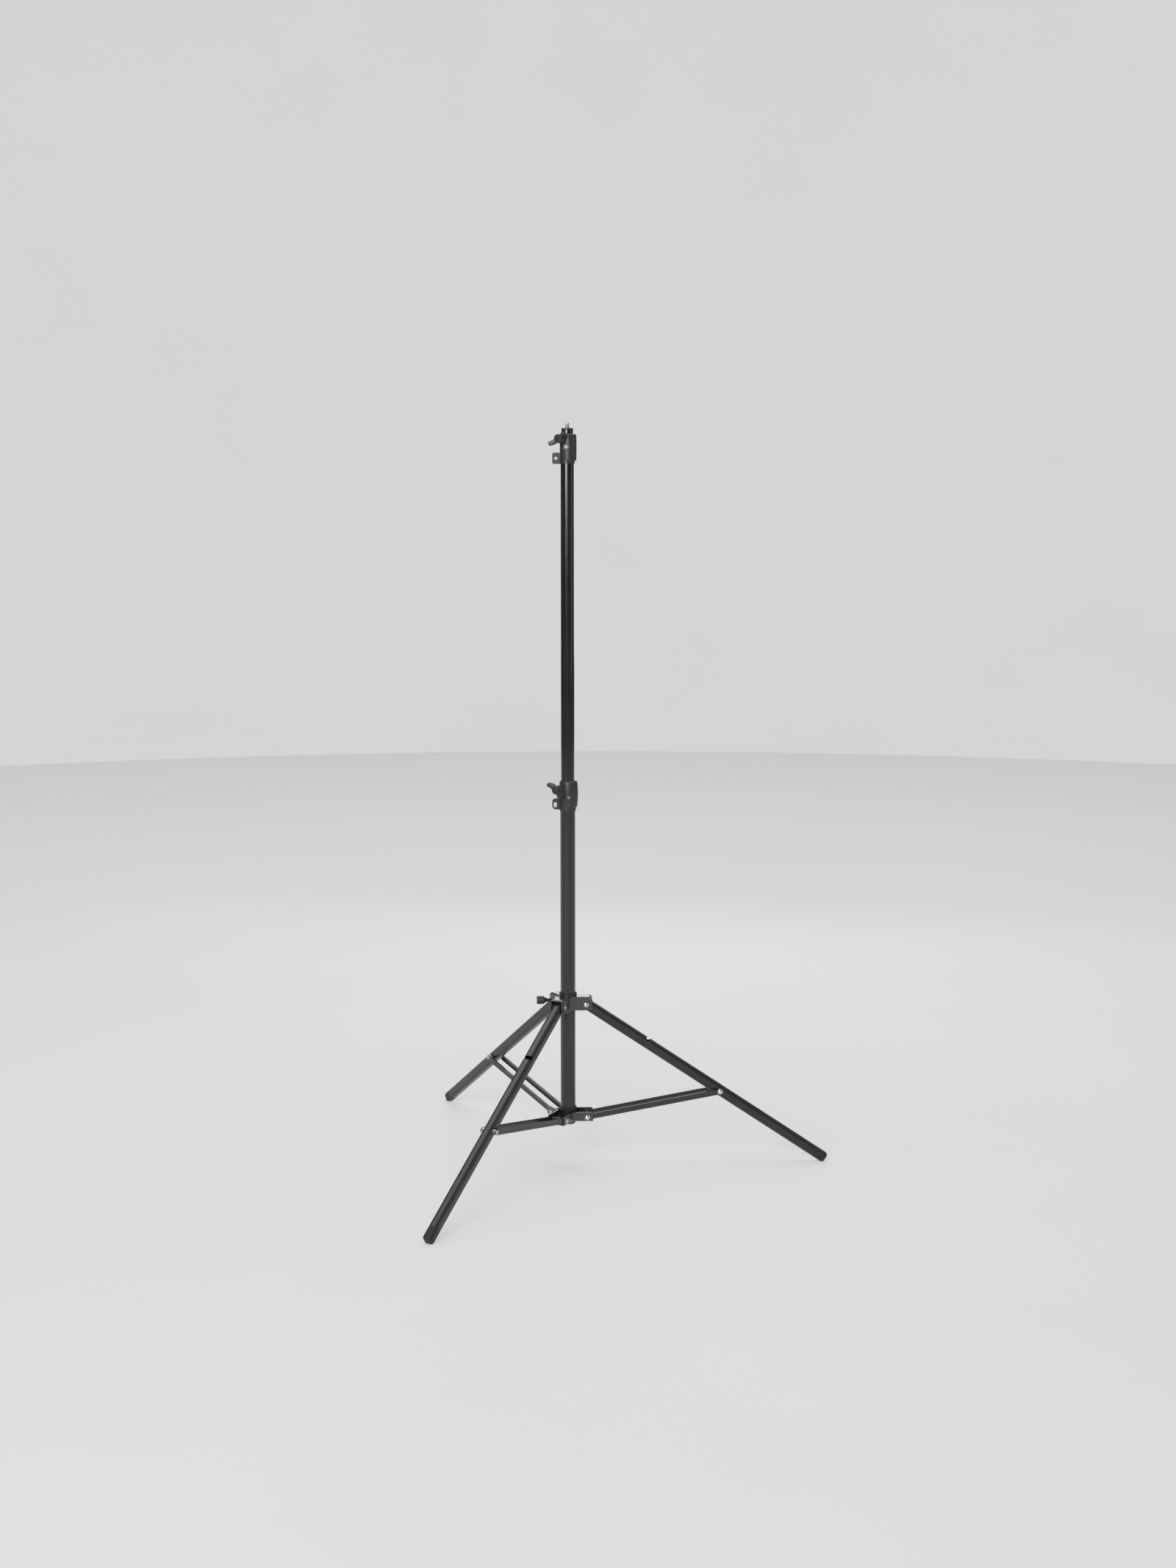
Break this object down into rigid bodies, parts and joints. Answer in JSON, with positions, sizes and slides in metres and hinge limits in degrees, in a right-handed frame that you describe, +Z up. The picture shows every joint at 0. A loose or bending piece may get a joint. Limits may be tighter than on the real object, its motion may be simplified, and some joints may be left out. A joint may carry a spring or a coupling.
{
  "type": "light stand",
  "caption": "Folding light stand: telescoping round column with screw-clamp collars on a sliding-hub tripod base with braced tubular legs.",
  "frame": {"origin": "on the floor, at the middle of the footprint's box; the column's axis stands 107.6 mm from it towards -X", "axes": "+Z up along the column, +X along the right-hand leg, away from the column"},
  "size_m": [0.6655, 0.7668, 1.238],
  "materials": {
    "gloss_black_paint": "gloss",
    "satin_black_paint": "satin",
    "pressed_steel_paint": "satin",
    "bright_steel": "bright",
    "zinc_steel": "zinc plated",
    "blackened_steel": "black oxide",
    "black_plastic": "matte",
    "moulded_black_plastic": "fine grain",
    "dark_nylon": "smooth",
    "black_rubber": "matte"
  },
  "bodies": {
    "base": {"base_tube": "gloss_black_paint", "base_tube_plug": "black_plastic", "lower_spider": "pressed_steel_paint", "lower_ring": "black_plastic", "lower_rivets": "bright_steel", "lower_spacers": "black_plastic", "middle_collar": "moulded_black_plastic", "middle_collar_bush": "dark_nylon", "middle_clamp_pad": "dark_nylon", "middle_clamp_insert": "zinc_steel", "middle_fixing_screw": "bright_steel"},
    "hub": {"hub_spider": "pressed_steel_paint", "hub_sleeve": "black_plastic", "hub_rivets": "bright_steel", "hub_lock_nut": "zinc_steel"},
    "hub_lock": {"hub_knob": "black_plastic", "hub_lock_screw": "blackened_steel"},
    "leg_right": {"leg_right_tube": "satin_black_paint", "leg_right_foot": "black_rubber", "leg_right_hub_bush": "zinc_steel", "leg_right_brace_pin": "zinc_steel"},
    "leg_back": {"leg_back_tube": "satin_black_paint", "leg_back_foot": "black_rubber", "leg_back_hub_bush": "zinc_steel", "leg_back_brace_pin": "zinc_steel"},
    "leg_front": {"leg_front_tube": "satin_black_paint", "leg_front_foot": "black_rubber", "leg_front_hub_bush": "zinc_steel", "leg_front_brace_pin": "zinc_steel"},
    "brace_right": {"brace_right_bar_1": "satin_black_paint", "brace_right_bar_2": "satin_black_paint", "brace_right_rivet": "bright_steel"},
    "brace_back": {"brace_back_bar_1": "satin_black_paint", "brace_back_bar_2": "satin_black_paint", "brace_back_rivet": "bright_steel"},
    "brace_front": {"brace_front_bar_1": "satin_black_paint", "brace_front_bar_2": "satin_black_paint", "brace_front_rivet": "bright_steel"},
    "second_section": {"second_tube": "gloss_black_paint", "second_tube_bush": "dark_nylon", "upper_collar": "moulded_black_plastic", "upper_collar_bush": "dark_nylon", "upper_clamp_pad": "dark_nylon", "upper_clamp_insert": "zinc_steel", "upper_fixing_screw": "bright_steel"},
    "third_section": {"third_tube": "gloss_black_paint", "third_tube_bush": "dark_nylon", "top_cap": "black_plastic", "top_stud": "zinc_steel"},
    "middle_wing": {"middle_wing_grip": "moulded_black_plastic", "middle_wing_screw": "zinc_steel"},
    "upper_wing": {"upper_wing_grip": "moulded_black_plastic", "upper_wing_screw": "zinc_steel"}
  },
  "joints": [
    {"name": "hub_slide", "type": "slide", "parent": "base", "child": "hub", "axis": [0, 0, 1], "range_m": [0, 0.3068]},
    {"name": "leg_right_fold", "type": "hinge", "parent": "hub", "child": "leg_right", "pos_m": [-0.0776, 0, 0.27717], "axis": [0, 1, 0], "range_deg": [0, 56.3]},
    {"name": "leg_back_fold", "type": "hinge", "parent": "hub", "child": "leg_back", "pos_m": [-0.1226, 0.02598, 0.27717], "axis": [-0.866, -0.5, 0], "range_deg": [0, 56.3]},
    {"name": "leg_front_fold", "type": "hinge", "parent": "hub", "child": "leg_front", "pos_m": [-0.1226, -0.02598, 0.27717], "axis": [0.866, -0.5, 0], "range_deg": [0, 56.3]},
    {"name": "brace_right_fold", "type": "hinge", "parent": "base", "child": "brace_right", "pos_m": [-0.0756, 0, 0.084], "axis": [0, -1, 0], "range_deg": [0, 79.9]},
    {"name": "brace_back_fold", "type": "hinge", "parent": "base", "child": "brace_back", "pos_m": [-0.1236, 0.02771, 0.084], "axis": [0.866, 0.5, 0], "range_deg": [0, 79.9]},
    {"name": "brace_front_fold", "type": "hinge", "parent": "base", "child": "brace_front", "pos_m": [-0.1236, -0.02771, 0.084], "axis": [-0.866, 0.5, 0], "range_deg": [0, 79.9]},
    {"name": "second_slide", "type": "slide", "parent": "base", "child": "second_section", "axis": [0, 0, 1], "range_m": [-0.49, 0]},
    {"name": "third_slide", "type": "slide", "parent": "second_section", "child": "third_section", "axis": [0, 0, 1], "range_m": [0, 0.465]},
    {"name": "middle_wing_turn", "type": "hinge", "parent": "base", "child": "middle_wing", "pos_m": [-0.12445, -0.01414, 0.6405], "axis": [-0.766, -0.6428, 0], "range_deg": [0, 360]},
    {"name": "upper_wing_turn", "type": "hinge", "parent": "second_section", "child": "upper_wing", "pos_m": [-0.12053, -0.0178, 1.2115], "axis": [-0.5878, -0.809, 0], "range_deg": [0, 360]},
    {"name": "hub_lock_turn", "type": "hinge", "parent": "hub", "child": "hub_lock", "pos_m": [-0.1526, 0, 0.28317], "axis": [-1, 0, 0], "range_deg": [0, 360]}
  ],
  "couplings": [
    {"joint": "leg_right_fold", "follows": "hub_slide", "rad_per_m": 3.199},
    {"joint": "leg_back_fold", "follows": "hub_slide", "rad_per_m": 3.199},
    {"joint": "leg_front_fold", "follows": "hub_slide", "rad_per_m": 3.199},
    {"joint": "brace_right_fold", "follows": "hub_slide", "rad_per_m": 4.5427},
    {"joint": "brace_back_fold", "follows": "hub_slide", "rad_per_m": 4.5427},
    {"joint": "brace_front_fold", "follows": "hub_slide", "rad_per_m": 4.5427}
  ]
}
